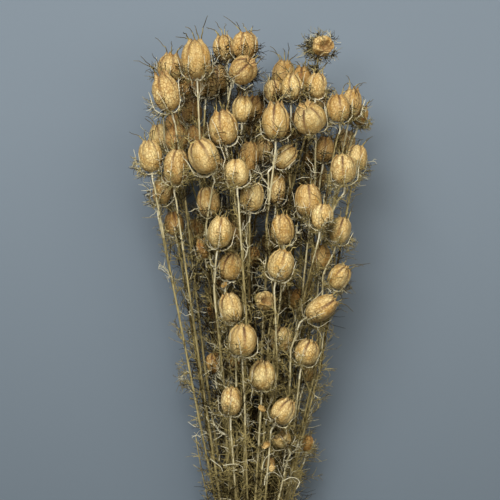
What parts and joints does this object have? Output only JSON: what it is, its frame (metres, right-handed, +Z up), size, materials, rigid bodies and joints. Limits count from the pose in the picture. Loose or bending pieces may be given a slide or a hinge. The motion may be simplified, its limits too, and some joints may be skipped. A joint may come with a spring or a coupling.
{
  "type": "dried nigella seed pod bunch",
  "caption": "Gathered bunch of dried nigella stems with papery ribbed seed pods, curled styles and thread-like leaves, held by a twine tie and lying on its side.",
  "frame": {"origin": "on the surface that the bunch lies on, under the middle of its bounding box", "axes": "+Y along the stems towards the pods, +X to the right seen from above, +Z up from the surface"},
  "size_m": [0.1882, 0.5224, 0.1171],
  "materials": {
    "dried_spray": "dry papery tan pods on straw-olive stems and threads",
    "twine": "plain natural jute twine"
  },
  "bodies": {
    "root": {"spray_01": "dried_spray", "spray_02": "dried_spray", "spray_03": "dried_spray", "spray_04": "dried_spray", "spray_05": "dried_spray", "spray_06": "dried_spray", "spray_07": "dried_spray", "spray_08": "dried_spray", "spray_09": "dried_spray", "spray_10": "dried_spray", "spray_11": "dried_spray", "spray_12": "dried_spray", "spray_13": "dried_spray", "spray_14": "dried_spray", "spray_15": "dried_spray", "spray_16": "dried_spray", "spray_17": "dried_spray", "spray_18": "dried_spray", "spray_19": "dried_spray", "spray_20": "dried_spray", "spray_21": "dried_spray", "spray_22": "dried_spray", "spray_23": "dried_spray", "spray_24": "dried_spray", "spray_25": "dried_spray", "spray_26": "dried_spray", "spray_27": "dried_spray", "spray_28": "dried_spray", "spray_29": "dried_spray", "spray_30": "dried_spray", "spray_31": "dried_spray", "spray_32": "dried_spray", "spray_33": "dried_spray", "spray_34": "dried_spray", "spray_35": "dried_spray", "spray_36": "dried_spray", "spray_37": "dried_spray", "spray_38": "dried_spray", "spray_39": "dried_spray", "spray_40": "dried_spray", "spray_41": "dried_spray", "spray_42": "dried_spray", "spray_43": "dried_spray", "spray_44": "dried_spray", "spray_45": "dried_spray", "spray_46": "dried_spray", "spray_47": "dried_spray", "spray_48": "dried_spray", "spray_49": "dried_spray", "spray_50": "dried_spray", "spray_51": "dried_spray", "spray_52": "dried_spray", "spray_53": "dried_spray", "spray_54": "dried_spray", "spray_55": "dried_spray", "spray_56": "dried_spray", "spray_57": "dried_spray", "spray_58": "dried_spray", "twine_tie": "twine"}
  },
  "joints": []
}
